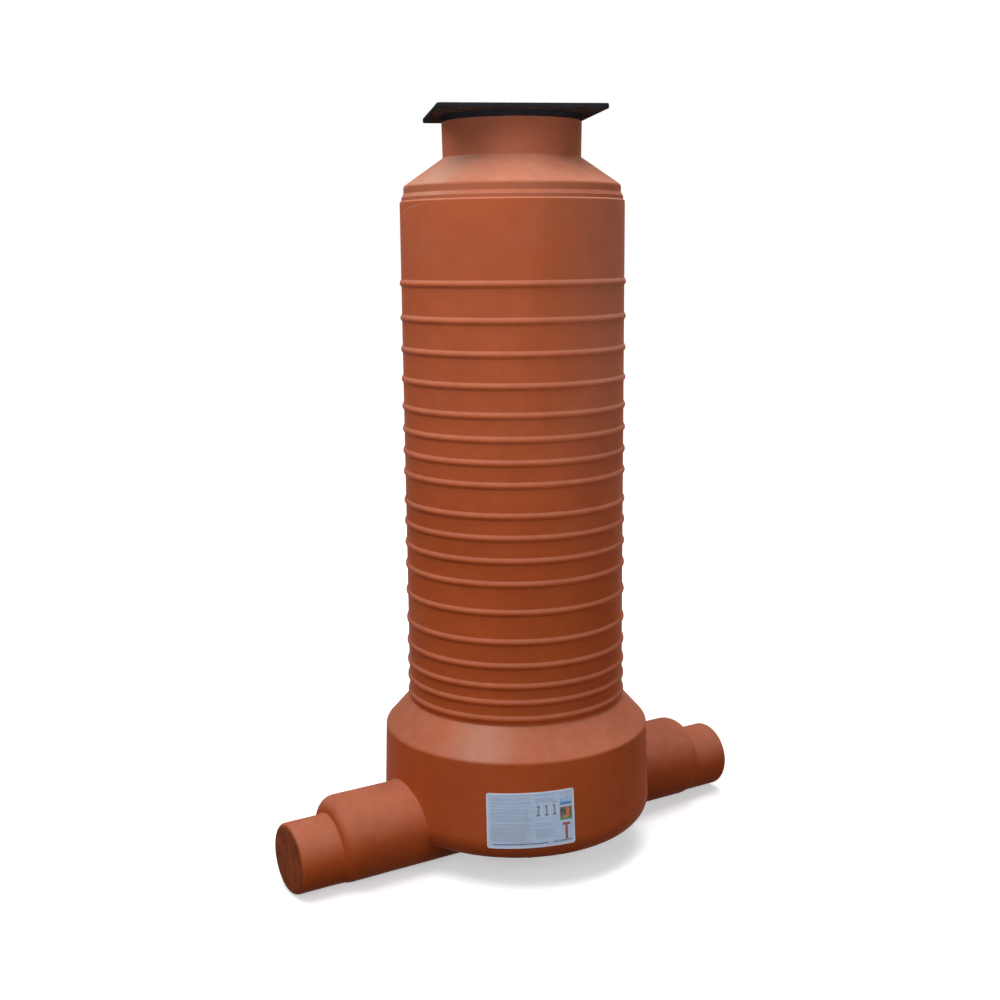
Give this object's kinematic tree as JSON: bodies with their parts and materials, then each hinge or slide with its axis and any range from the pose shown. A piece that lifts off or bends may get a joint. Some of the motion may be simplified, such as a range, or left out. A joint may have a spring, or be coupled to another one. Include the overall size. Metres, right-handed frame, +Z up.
{
  "type": "drain inspection chamber",
  "caption": "Tall round plastic sewer inspection chamber with a drum base, two in-line stepped stub pipes, a ringed riser shaft, a top cone with a neck and a square cover plate.",
  "frame": {"origin": "on the shaft's axis, level with the underside of the flow channel and of the feet", "axes": "+Z up along the shaft, +X along the flow channel towards one stub pipe; the label is on the -Y side"},
  "size_m": [1.208, 0.6382, 1.717],
  "materials": {
    "terracotta_plastic": "matt orange-brown moulded polyethylene",
    "seal_rubber": "black rubber",
    "black_plastic": "rough black moulded plastic",
    "printed_film": "pale printed film"
  },
  "bodies": {
    "root": {"base_chamber": "terracotta_plastic", "riser_shaft": "terracotta_plastic", "top_cone": "terracotta_plastic", "base_seal": "seal_rubber", "cone_seal": "seal_rubber", "cover_lid": "black_plastic", "info_label": "printed_film"}
  },
  "joints": []
}
